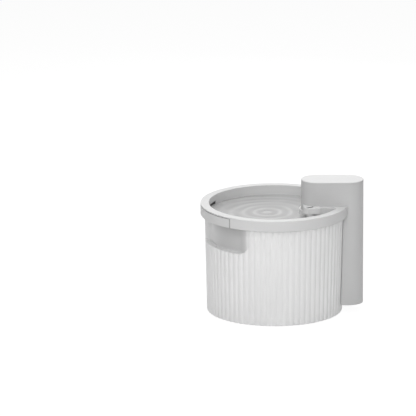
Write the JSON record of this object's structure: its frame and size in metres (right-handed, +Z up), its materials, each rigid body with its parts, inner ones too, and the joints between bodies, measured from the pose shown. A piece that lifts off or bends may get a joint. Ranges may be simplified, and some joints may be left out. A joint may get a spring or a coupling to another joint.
{
  "type": "pet water fountain",
  "caption": "Round fluted water tank with a lift-off drinking tray, a tall side tower driving a hidden magnetic pump, a drain slot and a hinged lift tab.",
  "frame": {"origin": "on the tank's axis, at the level of the surface that the feet stand on", "axes": "+Z up; +X from the tank's axis towards the tower; -Y is the side seen in front"},
  "size_m": [0.2743, 0.25, 0.227],
  "materials": {
    "tank_shell": "satin white moulded plastic with fine vertical flutes",
    "tray_shell": "satin white moulded plastic",
    "tab_plastic": "satin white moulded plastic",
    "spout_plastic": "satin white moulded plastic",
    "tower_shell": "satin white moulded plastic",
    "tower_cap": "satin white moulded plastic",
    "cap_seal_rubber": "soft grey silicone",
    "rubber_foot": "matt grey rubber",
    "seal_rubber": "soft grey silicone",
    "button_rubber": "matt white silicone",
    "pipe_silicone": "translucent white silicone",
    "dark_plastic": "matt dark grey moulded plastic",
    "filter_plastic": "matt white moulded plastic",
    "strainer_plastic": "matt grey moulded plastic",
    "impeller_plastic": "matt ivory moulded plastic",
    "cotton": "white filter cotton",
    "carbon": "black carbon granules",
    "sponge": "dark open-cell sponge",
    "ceramic": "polished white ceramic",
    "magnet": "dark grey sintered magnet",
    "steel": "bright stainless steel",
    "port_metal": "plated steel",
    "motor_can": "zinc-plated steel can",
    "cell_wrap": "blue shrink wrap with bare metal end",
    "circuit_board": "green lacquered board",
    "chip": "black moulded chip bodies",
    "lens": "frosted clear plastic"
  },
  "bodies": {
    "tank": {"tank": "tank_shell", "rubber_feet": "rubber_foot", "pump_cradle": "dark_plastic", "pump_housing": "dark_plastic", "pump_cover": "dark_plastic", "pump_seal": "seal_rubber", "impeller_shaft": "ceramic", "inlet_sponge": "sponge", "riser_pipe": "pipe_silicone"},
    "tray": {"drinking_tray": "tray_shell", "spout_block": "spout_plastic", "drain_strainer": "strainer_plastic", "riser_grommet": "seal_rubber", "tab_hinge_pin": "steel", "tab_spring": "steel"},
    "tab": {"lift_tab": "tab_plastic"},
    "filter": {"filter_case": "filter_plastic", "filter_cotton": "cotton", "filter_core": "carbon"},
    "tower": {"tower_housing": "tower_shell", "tower_cap": "tower_cap", "cap_seal": "cap_seal_rubber", "tower_base_cover": "tower_shell", "base_cover_screws": "steel", "battery_cells": "cell_wrap", "battery_holder": "dark_plastic", "control_board": "circuit_board", "board_components": "chip", "board_screws": "steel", "tact_switch": "chip", "status_lens": "lens", "charging_port": "port_metal", "port_cover_pin": "steel", "drive_motor": "motor_can", "motor_bracket": "dark_plastic", "motor_screws": "steel"},
    "button": {"power_button": "button_rubber"},
    "port_flap": {"port_cover": "button_rubber"},
    "impeller": {"impeller": "impeller_plastic", "impeller_magnet": "magnet"},
    "drive": {"drive_magnet": "magnet"}
  },
  "joints": [
    {"name": "tray_lift", "type": "slide", "parent": "tank", "child": "tray", "axis": [0, 0, 1], "range_m": [0, 0.06]},
    {"name": "tower_lift", "type": "slide", "parent": "tank", "child": "tower", "axis": [0.0251, 0, 0.9997], "range_m": [0, 0.06]},
    {"name": "filter_drop", "type": "slide", "parent": "tray", "child": "filter", "axis": [0, 0, -1], "range_m": [0, 0.04]},
    {"name": "tab_hinge", "type": "hinge", "parent": "tray", "child": "tab", "pos_m": [-0.10355, -0.06222, 0.1745], "axis": [-0.515, 0.8572, 0], "range_deg": [0, 25], "stiffness_Nm_per_rad": 0.02, "springref_deg": -11.46},
    {"name": "button_press", "type": "slide", "parent": "tower", "child": "button", "axis": [0, -1, 0], "range_m": [0, 0.0008], "stiffness_N_per_m": 600, "springref_m": -0.0005},
    {"name": "flap_hinge", "type": "hinge", "parent": "tower", "child": "port_flap", "pos_m": [0.1195, 0.0253, 0.0615], "axis": [-1, 0, 0], "range_deg": [0, 95]},
    {"name": "drive_spin", "type": "hinge", "parent": "tower", "child": "drive", "pos_m": [0.12, 0, 0.04], "axis": [1, 0, 0], "continuous": true},
    {"name": "impeller_spin", "type": "hinge", "parent": "tank", "child": "impeller", "pos_m": [0.105, 0, 0.04], "axis": [1, 0, 0], "continuous": true}
  ],
  "couplings": [
    {"joint": "impeller_spin", "follows": "drive_spin", "ratio": 1}
  ]
}
